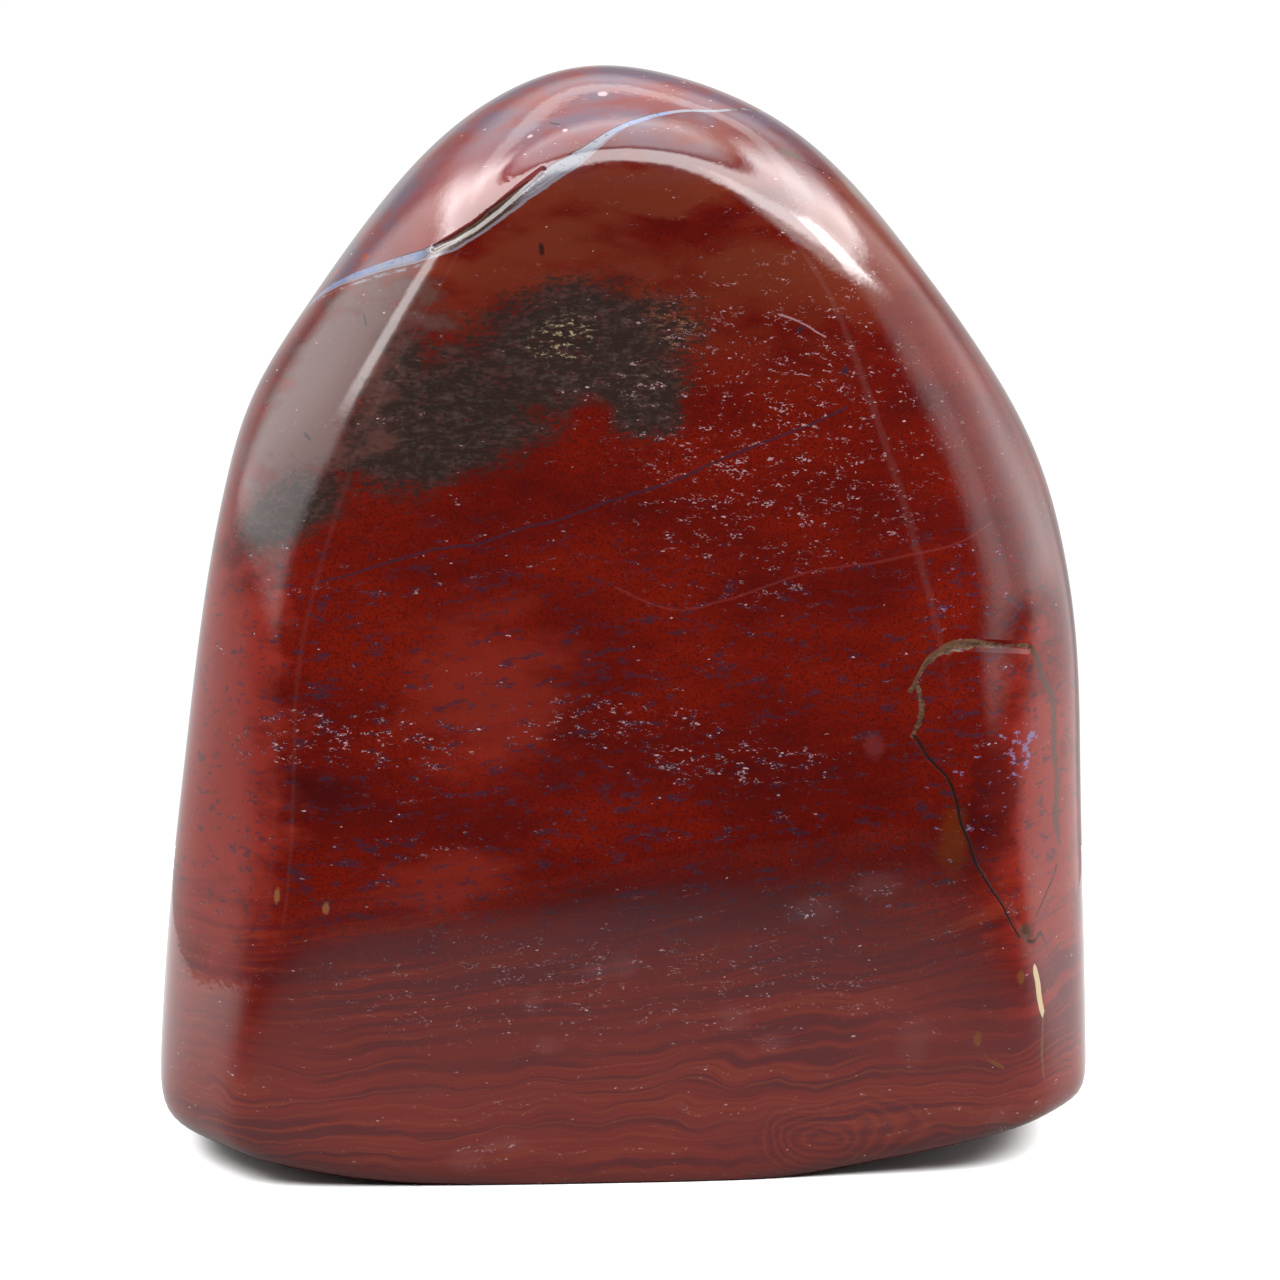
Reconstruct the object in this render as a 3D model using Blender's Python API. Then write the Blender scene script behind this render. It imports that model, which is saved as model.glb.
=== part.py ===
# Freestanding block of red jasper, cut by hand from one piece of rough stone and polished all over.
# The stone is ground down by flats, melted into each other by the polish, and sawn level to stand on.
# Metres, +Z up, the front looks along -Y, and the origin is under the middle of the stone.

import math

import bmesh
import bpy
import numpy as np

MM = 0.001

# The heart is the point that every flat is measured from, this far above the sawn base.
HEART_HEIGHT_MM = 52.5

# Each flat: turn from the front in degrees, positive to the right; tilt above level in degrees;
# distance from the heart in millimetres; and crispness, how little the polish rounds its edges.
FLATS = {
    "front": (3, 6, 30.0, 34),
    "front_foot": (5, -9, 33.4, 30),
    "right_slope": (26, 12, 41.0, 40),
    "right_cheek": (58, 20, 51.8, 28),
    "right_jowl": (54, 2, 49.5, 24),
    "left_slope": (-24, 15, 44.6, 40),
    "left_shin": (-24, 5, 45.0, 30),
    "left_cheek": (-50, 27, 52.0, 32),
    "left_jowl": (-54, 4, 50.0, 24),
    "brow": (3, 58, 67.3, 26),
    "left_brow": (-42, 50, 64.0, 26),
    "right_brow": (38, 37, 56.8, 28),
    "left_foot": (-90, 2, 53.3, 26),
    "left_side": (-90, 10, 49.7, 26),
    "right_side": (90, 2, 52.4, 44),
    "right_upper": (90, 17, 54.2, 26),
    "left_shoulder": (-90, 36, 56.2, 28),
    "right_shoulder": (90, 38, 57.1, 28),
    "left_crown": (-90, 60, 68.0, 28),
    "right_crown": (90, 64, 67.6, 28),
    "crown": (90, 88, 75.4, 26),
    "back": (182, 8, 27.5, 20),
    "back_left": (-132, 10, 48.0, 20),
    "back_right": (136, 8, 49.0, 20),
    "back_brow": (180, 50, 60.0, 18),
    "base": (0, -90, 54.3, 44),
    "right_toe": (70, -76, 58.2, 50),
    "left_toe": (-60, -76, 60.4, 26),
}

# Hollows and swells that the wheel left in the flats: turn, tilt, spread and height in millimetres.
SWELLS = {
    "vein_hollow": (-13, 65, 5.5, -0.7),
    "right_swell": (66, 16, 6, 0.35),
    "left_swell": (-45, 38, 7, 0.3),
    "left_hollow": (-52, 20, 8, -0.3),
    "shin_swell": (-30, -30, 12, 0.35),
    "chest_hollow": (-20, 0, 12, -0.3),
    "back_hollow": (165, 20, 16, -0.8),
    "back_swell": (205, -15, 14, 0.7),
}

# Long shallow waves in the polish, the shortest and the longest from crest to crest.
WAVE_COUNT = 7
WAVE_LENGTHS_MM = (17.0, 38.0)
WAVE_HEIGHT_MM = 0.05
GOLDEN_ANGLE = 137.5

# Cracks that stand open in the polish: width and depth in millimetres, and the directions from the
# heart, as turn and tilt, that the crack runs through.
OPEN_CRACKS = {
    "open_vein": (1.5, 0.55, [(-42, 59.2), (-38, 60.3), (-34, 61.8), (-30, 63.7), (-26, 65.7), (-21.4, 67.7)]),
    "crescent": (1.7, 0.45, [(48.2, -1.4), (49.0, 0.5), (49.4, 4.8), (50.3, 8.7), (52.1, 10.0), (53.9, 10.8),
                             (58.8, 10.1), (65.5, 8.7)]),
}

# Cuts along each edge of the cube that the stone is shaped from. The mesh is then cut finer, round after
# round, where the surface stands off the middle of an edge by more than this, or a crack runs near one.
CUBE_CUTS = 17
FINER_ROUNDS = 4
LARGEST_BULGE_MM = 0.12
CRACK_EDGE_MM = 0.8
SURFACE_STEPS = 14

JASPER_RED = (0.14, 0.012, 0.006, 1.0)
POLISH_ROUGHNESS = 0.08


def clear_scene():
    for obj in list(bpy.data.objects):
        bpy.data.objects.remove(obj)


def facing(turn, tilt):
    """The outward direction of a turn from the front and a tilt above level."""
    turn, tilt = math.radians(turn), math.radians(tilt)
    return (math.sin(turn) * math.cos(tilt), -math.cos(turn) * math.cos(tilt), math.sin(tilt))


def ground(directions):
    """Distance in mm from the heart to the flats along each direction.

    Every flat alone would stop a ray at distance / cosine. The surface lies where the flats' shares,
    each raised to its crispness, add up to one, which rounds the edges between them.
    """
    turns, tilts, distances, crispness = np.array(list(FLATS.values()), float).T
    outward = np.array([facing(turn, tilt) for turn, tilt in zip(turns, tilts)])
    share = np.maximum(directions @ outward.T / distances, 1e-9)
    length = 1.0 / share.max(axis=1)
    for _ in range(SURFACE_STEPS):
        terms = (length[:, None] * share) ** crispness
        total = terms.sum(axis=1)
        length *= total ** (-total / (terms * crispness).sum(axis=1))
    return length


def polished(directions):
    """Distance in mm from the heart to the polished surface, with its hollows, swells and waves."""
    length = ground(directions)
    for turn, tilt, spread, height in SWELLS.values():
        away = length * np.linalg.norm(directions - facing(turn, tilt), axis=1)
        length = length + height * np.exp(-((away / spread) ** 2))
    for number, wave in enumerate(np.linspace(*WAVE_LENGTHS_MM, WAVE_COUNT)):
        along = length * (directions @ facing(number * GOLDEN_ANGLE, 10 * number - 30))
        length = length + WAVE_HEIGHT_MM * np.sin(math.tau * along / wave + number)
    return length


def crack_distance(points, route):
    """How far each point lies from the line over the surface through a route's directions."""
    corners = np.array([facing(turn, tilt) for turn, tilt in route])
    corners *= polished(corners)[:, None]
    nearest = np.full(len(points), np.inf)
    for start, end in zip(corners[:-1], corners[1:]):
        run = end - start
        share = np.clip((points - start) @ run / (run @ run), 0, 1)
        away = np.linalg.norm(points - start - share[:, None] * run, axis=1)
        nearest = np.minimum(nearest, away)
    return nearest


def surface(points):
    """The place on the stone's surface, or down in a crack, on each point's line from the heart."""
    directions = points / np.linalg.norm(points, axis=1)[:, None]
    places = directions * polished(directions)[:, None]
    depth = np.zeros(len(places))
    for width, deep, route in OPEN_CRACKS.values():
        across = np.clip(crack_distance(places, route) / (width / 2), 0, 1)
        depth = np.maximum(depth, deep * (1 - across**2))
    return places - directions * depth[:, None]


def push_to_surface(bm):
    for vert, place in zip(bm.verts, surface(np.array([v.co for v in bm.verts]))):
        vert.co = place


def edges_to_cut(bm):
    """The edges that the surface bulges from, or that lie as near to a crack as they are long."""
    ends = np.array([[vert.co for vert in edge.verts] for edge in bm.edges])
    middles = ends.mean(axis=1)
    lengths = np.linalg.norm(ends[:, 0] - ends[:, 1], axis=1)
    bulges = np.linalg.norm(surface(middles) - middles, axis=1)
    cracks = np.min([crack_distance(middles, route) for _, _, route in OPEN_CRACKS.values()], axis=0)
    chosen = (bulges > LARGEST_BULGE_MM) & (lengths > CRACK_EDGE_MM)
    chosen |= (cracks < lengths) & (lengths > CRACK_EDGE_MM)
    return [edge for edge, choice in zip(bm.edges, chosen) if choice]


def shape_from_cube(bm):
    """A cube round the heart, pushed to the surface and cut finer where it bends, in millimetres."""
    bmesh.ops.create_cube(bm, size=2.0)
    bmesh.ops.subdivide_edges(bm, edges=bm.edges[:], cuts=CUBE_CUTS, use_grid_fill=True)
    for vert in bm.verts:
        vert.co = [math.tan(along * math.pi / 4) for along in vert.co]
    bmesh.ops.triangulate(bm, faces=bm.faces[:])
    push_to_surface(bm)
    for _ in range(FINER_ROUNDS):
        bmesh.ops.subdivide_edges(bm, edges=edges_to_cut(bm), cuts=1)
        bmesh.ops.triangulate(bm, faces=bm.faces[:])
        push_to_surface(bm)


def saw_base(bm):
    """The level cut that the stone stands on."""
    whole = bm.verts[:] + bm.edges[:] + bm.faces[:]
    bmesh.ops.bisect_plane(
        bm, geom=whole, plane_co=(0, 0, -HEART_HEIGHT_MM), plane_no=(0, 0, 1), clear_inner=True
    )
    rim = [edge for edge in bm.edges if edge.is_boundary]
    bmesh.ops.edgeloop_fill(bm, edges=rim)


def stand_on_origin(bm):
    """Brings the stone to real size, level on the ground, with its middle over the origin."""
    bmesh.ops.translate(bm, vec=(0, 0, HEART_HEIGHT_MM), verts=bm.verts[:])
    places = np.array([v.co for v in bm.verts])
    middle = (places.min(axis=0) + places.max(axis=0)) / 2
    bmesh.ops.translate(bm, vec=(-middle[0], -middle[1], 0), verts=bm.verts[:])
    bmesh.ops.scale(bm, vec=(MM, MM, MM), verts=bm.verts[:])
    for vert in bm.verts:
        vert.co.z = max(vert.co.z, 0.0)


def polished_red():
    material = bpy.data.materials.new("polished_red_jasper")
    material.use_nodes = True
    shader = material.node_tree.nodes["Principled BSDF"]
    shader.inputs["Base Color"].default_value = JASPER_RED
    shader.inputs["Roughness"].default_value = POLISH_ROUGHNESS
    shader.inputs["Metallic"].default_value = 0.0
    return material


def make_stone():
    bm = bmesh.new()
    shape_from_cube(bm)
    saw_base(bm)
    stand_on_origin(bm)
    bmesh.ops.recalc_face_normals(bm, faces=bm.faces[:])
    mesh = bpy.data.meshes.new("jasper_stone")
    bm.to_mesh(mesh)
    bm.free()
    mesh.shade_smooth()
    mesh.set_sharp_from_angle(angle=math.radians(40))
    mesh.materials.append(polished_red())
    stone = bpy.data.objects.new("jasper_stone", mesh)
    bpy.context.scene.collection.objects.link(stone)
    return stone


clear_scene()
make_stone()
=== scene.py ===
# A freestanding block of polished red jasper, photographed in a white light tent.

import math

import bmesh
import bpy
import numpy as np
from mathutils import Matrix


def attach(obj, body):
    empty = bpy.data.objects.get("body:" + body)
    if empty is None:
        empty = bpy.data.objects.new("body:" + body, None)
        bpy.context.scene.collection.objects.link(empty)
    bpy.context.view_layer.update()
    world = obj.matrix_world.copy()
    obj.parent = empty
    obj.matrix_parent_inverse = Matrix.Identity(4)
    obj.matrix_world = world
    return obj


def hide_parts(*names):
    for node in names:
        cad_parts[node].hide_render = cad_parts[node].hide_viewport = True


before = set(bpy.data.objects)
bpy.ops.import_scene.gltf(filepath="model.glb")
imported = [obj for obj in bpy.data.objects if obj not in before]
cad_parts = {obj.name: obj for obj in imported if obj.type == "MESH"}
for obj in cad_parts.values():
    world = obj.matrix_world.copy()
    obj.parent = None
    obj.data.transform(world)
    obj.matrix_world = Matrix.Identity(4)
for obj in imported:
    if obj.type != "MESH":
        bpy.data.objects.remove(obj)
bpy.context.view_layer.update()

MM = 0.001

# Camera
# A long lens a little above the stone, looking down on it by a few degrees, as the photograph does.
# The whole stone nearly fills the square frame, and everything is in focus.

CAMERA_DISTANCE_MM = 480.0
CAMERA_ELEVATION = 8.0
AIM_MM = (1.88, -1.46, 58.1)
FRAME_WIDTH_MM = 149.4
SENSOR_MM = 36.0
NEAREST_SEEN_MM = 10.0

camera_data = bpy.data.cameras.new("camera")
camera_data.sensor_width = SENSOR_MM
camera_data.lens = SENSOR_MM * CAMERA_DISTANCE_MM / FRAME_WIDTH_MM
camera_data.clip_start = NEAREST_SEEN_MM * MM
camera = bpy.data.objects.new("camera", camera_data)
lift_angle = math.radians(CAMERA_ELEVATION)
camera.location = (
    AIM_MM[0] * MM,
    (AIM_MM[1] - CAMERA_DISTANCE_MM * math.cos(lift_angle)) * MM,
    (AIM_MM[2] + CAMERA_DISTANCE_MM * math.sin(lift_angle)) * MM,
)
camera.rotation_euler = (math.radians(90.0) - lift_angle, 0.0, 0.0)
bpy.context.scene.collection.objects.link(camera)
bpy.context.scene.camera = camera
bpy.context.scene.view_settings.view_transform = "Standard"

# Light tent and floor
# White cloth walls and ceiling with an unlit opening behind the camera, which the front face mirrors.
# The stone stands on white card, bright enough to burn out except in the shadow under the stone.


def node(tree, kind, inputs=(), **settings):
    """A shader node with its settings made and its inputs either filled in or joined up."""
    made = tree.nodes.new(kind)
    for name, value in settings.items():
        setattr(made, name, value)
    for socket, value in dict(inputs).items():
        if isinstance(value, bpy.types.NodeSocket):
            tree.links.new(value, made.inputs[socket])
        else:
            made.inputs[socket].default_value = value
    return made


def calc(tree, operation, *values):
    """A sum worked out by one Math node."""
    return node(tree, "ShaderNodeMath", dict(enumerate(values)), operation=operation).outputs[0]


def parts(tree, arrow):
    """The three numbers that an arrow or a place is made of."""
    return node(tree, "ShaderNodeSeparateXYZ", {0: arrow}).outputs


def step(tree, value, start, end, low=0.0, high=1.0):
    """A soft step that runs from low to high while the value runs from start to end."""
    ends = {"Value": value, "From Min": start, "From Max": end, "To Min": low, "To Max": high}
    return node(tree, "ShaderNodeMapRange", ends, interpolation_type="SMOOTHSTEP").outputs[0]


# Each patch of the tent: middle azimuth and elevation in degrees, half width, half height,
# softness of its edges across and up, and brightness. Azimuth 0 is behind the camera, 90 is on the right.
TENT_PATCHES = {
    "front_ceiling": (0, 46, 110, 7, 30, 5, 11.0),
    "zenith": (0, 90, 180, 24, 8, 10, 4.6),
    "back_ceiling": (180, 50, 60, 8, 20, 14, 1.6),
    "back_batten": (180, 47, 80, 1.5, 20, 2, 1.8),
    "left_lamp": (-84, 33, 5, 1.5, 7, 6, 6.5),
    "right_lamp": (75, 38, 6, 4, 5, 4, 17.0),
    "back_wall": (180, 12, 50, 26, 30, 10, 0.35),
    "left_wall": (-100, 25, 22, 10, 14, 8, 2.3),
    "left_wall_foot": (-115, 2, 45, 10, 14, 22, 0.14),
    "right_wall": (102, 21, 26, 13, 16, 8, 1.5),
    "right_ceiling": (60, 38, 22, 5, 14, 5, 5.0),
    "left_strip": (-36, 14, 1, 24, 3, 12, 0.20),
    "right_strip": (36, 27, 1, 13, 2.5, 9, 0.45),
    "low_wall": (180, -2, 70, 12, 22, 10, 0.35),
    "right_wall_foot": (126, -8, 14, 10, 14, 10, 1.0),
    "right_blotch": (75, 16, 4, 4, 9, 8, 0.7),
}
UNLIT_OPENING = 0.02
BACKDROP_WHITE = 1.05

world = bpy.data.worlds.new("light_tent")
world.use_nodes = True
bpy.context.scene.world = world
sky = world.node_tree
sky.nodes.clear()
to_right, to_back, to_top = parts(sky, node(sky, "ShaderNodeTexCoord").outputs["Generated"])
to_camera = calc(sky, "MULTIPLY", to_back, -1.0)
azimuth = calc(sky, "DEGREES", calc(sky, "ARCTAN2", to_right, to_camera))
elevation = calc(sky, "DEGREES", calc(sky, "ARCSINE", to_top))
brightness = UNLIT_OPENING
for turn, rise, half_width, half_height, soft_across, soft_up, strength in TENT_PATCHES.values():
    away = calc(sky, "SUBTRACT", azimuth, float(turn))
    across = calc(sky, "ABSOLUTE", calc(sky, "WRAP", away, 180.0, -180.0))
    up = calc(sky, "ABSOLUTE", calc(sky, "SUBTRACT", elevation, float(rise)))
    lit_across = step(sky, across, half_width, half_width + soft_across, 1.0, 0.0)
    lit_up = step(sky, up, half_height, half_height + soft_up, 1.0, 0.0)
    patch = calc(sky, "MULTIPLY", calc(sky, "MULTIPLY", lit_across, lit_up), strength)
    brightness = calc(sky, "ADD", brightness, patch)
tent = node(sky, "ShaderNodeBackground", {"Strength": brightness})
backdrop = node(sky, "ShaderNodeBackground", {"Color": (1, 1, 1, 1), "Strength": BACKDROP_WHITE})
seen = node(sky, "ShaderNodeLightPath").outputs["Is Camera Ray"]
mixed = node(sky, "ShaderNodeMixShader", {0: seen, 1: tent.outputs[0], 2: backdrop.outputs[0]})
node(sky, "ShaderNodeOutputWorld", {"Surface": mixed.outputs[0]})

FLOOR_RADIUS_MM = 190.0
FLOOR_CORNERS = 96
FLOOR_GAP_MM = 0.2
# Painted shade and light on the card: seen directly it is white, while the stone's shine shows it
# painted darker near the stone, darker still far from it and lighter behind it, with the distances that these
# fade over.
CARD_WHITE = 0.95
CARD_SHADE_IN_THE_SHINE = 0.15
FAR_CARD_SHADE_IN_THE_SHINE = 0.02
LIT_CARD_BEHIND = 0.34
SHINE_FADES_MM = (70.0, 140.0)
BEHIND_FADES_MM = (-70.0, 30.0)

card = bpy.data.materials.new("white_card")
card.use_nodes = True
paper = card.node_tree
paper.nodes.clear()
direct = node(paper, "ShaderNodeLightPath").outputs["Is Camera Ray"]
spot = node(paper, "ShaderNodeTexCoord").outputs["Object"]
out_from_stone = node(paper, "ShaderNodeVectorMath", {0: spot}, operation="LENGTH").outputs["Value"]
fade_start, fade_end = (distance * MM for distance in SHINE_FADES_MM)
near = step(paper, out_from_stone, fade_start, fade_end, CARD_SHADE_IN_THE_SHINE, FAR_CARD_SHADE_IN_THE_SHINE)
behind_start, behind_end = (distance * MM for distance in BEHIND_FADES_MM)
behind = step(paper, parts(paper, spot)[1], behind_start, behind_end)
# Painted shade: the card as the shine shows it is darker in front of the stone and far from it, and lighter
# behind it.
painted_card_shade = node(paper, "ShaderNodeMix", {0: behind, 2: near, 3: LIT_CARD_BEHIND}).outputs[0]
shade = step(paper, direct, 0.0, 1.0, painted_card_shade, CARD_WHITE)
card_surface = node(paper, "ShaderNodeBsdfDiffuse", {"Color": shade})
node(paper, "ShaderNodeOutputMaterial", {"Surface": card_surface.outputs[0]})

bm = bmesh.new()
bmesh.ops.create_circle(bm, cap_ends=True, segments=FLOOR_CORNERS, radius=FLOOR_RADIUS_MM * MM)
bmesh.ops.translate(bm, vec=(0, 0, -FLOOR_GAP_MM * MM), verts=bm.verts[:])
floor_mesh = bpy.data.meshes.new("floor")
bm.to_mesh(floor_mesh)
bm.free()
floor_mesh.materials.append(card)
floor = bpy.data.objects.new("floor", floor_mesh)
bpy.context.scene.collection.objects.link(floor)

# Stone
# One solid block of red jasper, ground by hand to soft flats on a wheel and polished until they melt
# together. Its foot is sawn level, the polish runs round every edge, and the vein at the upper left, the
# crescent and the crack on the right stand open in it as shallow grooves.

HEART_HEIGHT_MM = 52.5

# Each flat: turn from the front in degrees, positive to the right; tilt above level in degrees;
# distance from the heart in millimetres; and crispness, how little the polish rounds its edges.
FLATS = {
    "front": (3, 6, 30.0, 34),
    "front_foot": (5, -9, 33.4, 30),
    "right_slope": (26, 12, 41.0, 40),
    "right_cheek": (58, 20, 51.8, 28),
    "right_jowl": (54, 2, 49.5, 24),
    "left_slope": (-24, 15, 44.6, 40),
    "left_shin": (-24, 5, 45.0, 30),
    "left_cheek": (-50, 27, 52.0, 32),
    "left_jowl": (-54, 4, 50.0, 24),
    "brow": (3, 58, 67.3, 26),
    "left_brow": (-42, 50, 64.0, 26),
    "right_brow": (38, 37, 56.8, 28),
    "left_foot": (-90, 2, 53.3, 26),
    "left_side": (-90, 10, 49.7, 26),
    "right_side": (90, 2, 52.4, 44),
    "right_upper": (90, 17, 54.2, 26),
    "left_shoulder": (-90, 36, 56.2, 28),
    "right_shoulder": (90, 38, 57.1, 28),
    "left_crown": (-90, 60, 68.0, 28),
    "right_crown": (90, 64, 67.6, 28),
    "crown": (90, 88, 75.4, 26),
    "back": (182, 8, 27.5, 20),
    "back_left": (-132, 10, 48.0, 20),
    "back_right": (136, 8, 49.0, 20),
    "back_brow": (180, 50, 60.0, 18),
    "base": (0, -90, 54.3, 44),
    "right_toe": (70, -76, 58.2, 50),
    "left_toe": (-60, -76, 60.4, 26),
}

# Hollows and swells that the wheel left in the flats: turn, tilt, spread and height in millimetres.
SWELLS = {
    "vein_hollow": (-13, 65, 5.5, -0.7),
    "right_swell": (66, 16, 6, 0.35),
    "left_swell": (-45, 38, 7, 0.3),
    "left_hollow": (-52, 20, 8, -0.3),
    "shin_swell": (-30, -30, 12, 0.35),
    "chest_hollow": (-20, 0, 12, -0.3),
    "back_hollow": (165, 20, 16, -0.8),
    "back_swell": (205, -15, 14, 0.7),
}

# Long shallow waves in the polish, the shortest and the longest from crest to crest.
WAVE_COUNT = 7
WAVE_LENGTHS_MM = (17.0, 38.0)
WAVE_HEIGHT_MM = 0.05
GOLDEN_ANGLE = 137.5

# Cracks that stand open in the polish: width and depth in millimetres, and the directions from the
# heart, as turn and tilt, that the crack runs through.
OPEN_CRACKS = {
    "open_vein": (1.3, 0.20, [
        (-42, 59.2), (-38, 60.3), (-34, 61.8), (-30, 63.7), (-26, 65.7), (-21.4, 67.7)]),
    "crescent": (1.5, 0.12, [
        (48.2, -1.4), (49.0, 0.5), (49.4, 4.8), (50.3, 8.7), (52.1, 10.0), (53.9, 10.8), (58.8, 10.1),
        (65.5, 8.7)]),
    "crack": (0.6, 0.10, [
        (48.2, -1.4), (49.5, -4.7), (51.4, -7.2), (52.2, -9.7), (52.9, -13.4), (53.6, -15.0),
        (54.9, -18.4), (56.9, -21.1), (58.5, -22.9), (60.1, -25.1)]),
}
# Cuts along each edge of the cube that the stone is shaped from, and how near to a crack the mesh is cut
# finer in each later round.
CUBE_CUTS = 113
FINER_WITHIN_MM = (2.4, 1.6, 0.9)
SURFACE_STEPS = 14
SHARP_FROM_DEGREES = 40


def facing(turn, tilt):
    """The outward direction of a turn from the front and a tilt above level."""
    turn, tilt = math.radians(turn), math.radians(tilt)
    return (math.sin(turn) * math.cos(tilt), -math.cos(turn) * math.cos(tilt), math.sin(tilt))


def ground(directions):
    """Distance in mm from the heart to the flats along each direction, rounded where they meet."""
    turns, tilts, distances, crispness = np.array(list(FLATS.values()), float).T
    outward = np.array([facing(turn, tilt) for turn, tilt in zip(turns, tilts)])
    share = np.maximum(directions @ outward.T / distances, 1e-9)
    length = 1.0 / share.max(axis=1)
    for _ in range(SURFACE_STEPS):
        terms = (length[:, None] * share) ** crispness
        total = terms.sum(axis=1)
        length *= total ** (-total / (terms * crispness).sum(axis=1))
    return length


def polished(directions):
    """Distance in mm from the heart to the polished surface, with its hollows, swells and waves."""
    length = ground(directions)
    for turn, tilt, spread, height in SWELLS.values():
        away = length * np.linalg.norm(directions - facing(turn, tilt), axis=1)
        length = length + height * np.exp(-((away / spread) ** 2))
    for number, wave in enumerate(np.linspace(*WAVE_LENGTHS_MM, WAVE_COUNT)):
        along = length * (directions @ facing(number * GOLDEN_ANGLE, 10 * number - 30))
        length = length + WAVE_HEIGHT_MM * np.sin(math.tau * along / wave + number)
    return length


def crack_distance(points, route):
    """How far each point lies from the line over the surface through a route's directions."""
    corners = np.array([facing(turn, tilt) for turn, tilt in route])
    corners *= polished(corners)[:, None]
    nearest = np.full(len(points), np.inf)
    for start, end in zip(corners[:-1], corners[1:]):
        run = end - start
        share = np.clip((points - start) @ run / (run @ run), 0, 1)
        away = np.linalg.norm(points - start - share[:, None] * run, axis=1)
        nearest = np.minimum(nearest, away)
    return nearest


def push_to_surface(bm):
    """Moves every point along its line from the heart to the polished surface, or into a crack."""
    points = np.array([v.co for v in bm.verts])
    directions = points / np.linalg.norm(points, axis=1)[:, None]
    points = directions * polished(directions)[:, None]
    depth = np.zeros(len(points))
    for width, deep, route in OPEN_CRACKS.values():
        across = np.clip(crack_distance(points, route) / (width / 2), 0, 1)
        depth = np.maximum(depth, deep * (1 - across**2) ** 2)
    for vert, place in zip(bm.verts, points - directions * depth[:, None]):
        vert.co = place


bm = bmesh.new()
bmesh.ops.create_cube(bm, size=2.0)
bmesh.ops.subdivide_edges(bm, edges=bm.edges[:], cuts=CUBE_CUTS, use_grid_fill=True)
for vert in bm.verts:
    vert.co = [math.tan(along * math.pi / 4) for along in vert.co]
bmesh.ops.triangulate(bm, faces=bm.faces[:])
push_to_surface(bm)
for near in FINER_WITHIN_MM:
    points = np.array([v.co for v in bm.verts])
    away = np.min([crack_distance(points, route) for _, _, route in OPEN_CRACKS.values()], axis=0)
    close = dict(zip(bm.verts, away < near))
    edges = [edge for edge in bm.edges if all(close[vert] for vert in edge.verts)]
    bmesh.ops.subdivide_edges(bm, edges=edges, cuts=1)
    bmesh.ops.triangulate(bm, faces=bm.faces[:])
    push_to_surface(bm)
whole = bm.verts[:] + bm.edges[:] + bm.faces[:]
bmesh.ops.bisect_plane(
    bm, geom=whole, plane_co=(0, 0, -HEART_HEIGHT_MM), plane_no=(0, 0, 1), clear_inner=True)
bmesh.ops.edgeloop_fill(bm, edges=[edge for edge in bm.edges if edge.is_boundary])
bmesh.ops.translate(bm, vec=(0, 0, HEART_HEIGHT_MM), verts=bm.verts[:])
places = np.array([v.co for v in bm.verts])
middle = (places.min(axis=0) + places.max(axis=0)) / 2
bmesh.ops.translate(bm, vec=(-middle[0], -middle[1], 0), verts=bm.verts[:])
bmesh.ops.scale(bm, vec=(MM, MM, MM), verts=bm.verts[:])
bmesh.ops.recalc_face_normals(bm, faces=bm.faces[:])
stone_mesh = bpy.data.meshes.new("stone")
bm.to_mesh(stone_mesh)
bm.free()
stone_mesh.shade_smooth()
stone_mesh.set_sharp_from_angle(angle=math.radians(SHARP_FROM_DEGREES))
stone = bpy.data.objects.new("stone", stone_mesh)
bpy.context.scene.collection.objects.link(stone)

# Jasper
# Red chalcedony laid down in thin beds that rise to the right, stained by iron and cut by a healed vein.
# Every place is a turn and a tilt from the heart, so beds, patch and vein run on round sides and back.

PAINTS = {
    "maroon": (0.042, 0.003, 0.003, 1),
    "brick": (0.086, 0.004, 0.002, 1),
    "scarlet": (0.122, 0.006, 0.002, 1),
    "rust": (0.104, 0.017, 0.008, 1),
    "bed_purple": (0.046, 0.005, 0.009, 1),
    "foot_red": (0.148, 0.013, 0.008, 1),
    "bed_orange": (0.190, 0.032, 0.009, 1),
    "bottle_dark": (0.018, 0.013, 0.011, 1),
    "bottle_grey": (0.044, 0.034, 0.030, 1),
    "cheek_grey": (0.070, 0.030, 0.026, 1),
    "crown_rose": (0.150, 0.026, 0.026, 1),
    "crown_mauve": (0.066, 0.042, 0.062, 1),
    "quartz": (0.380, 0.240, 0.260, 1),
    "periwinkle": (0.150, 0.125, 0.230, 1),
    "ink": (0.022, 0.012, 0.024, 1),
    "cream": (0.420, 0.320, 0.190, 1),
    "tan": (0.115, 0.058, 0.034, 1),
    "olive": (0.050, 0.027, 0.017, 1),
    "ochre": (0.140, 0.040, 0.006, 1),
    "tan_orange": (0.200, 0.075, 0.030, 1),
    "vein_blue": (0.095, 0.125, 0.240, 1),
    "vein_grey": (0.150, 0.150, 0.178, 1),
    "crack_dark": (0.014, 0.007, 0.006, 1),
    "recess": (0.034, 0.021, 0.017, 1),
    "paler_red": (0.172, 0.018, 0.011, 1),
    # Painted light: the lighter red painted on both flanks, where the tent's walls light the sides more than
    # the front.
    "painted_light_red": (0.240, 0.022, 0.014, 1),
}

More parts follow.
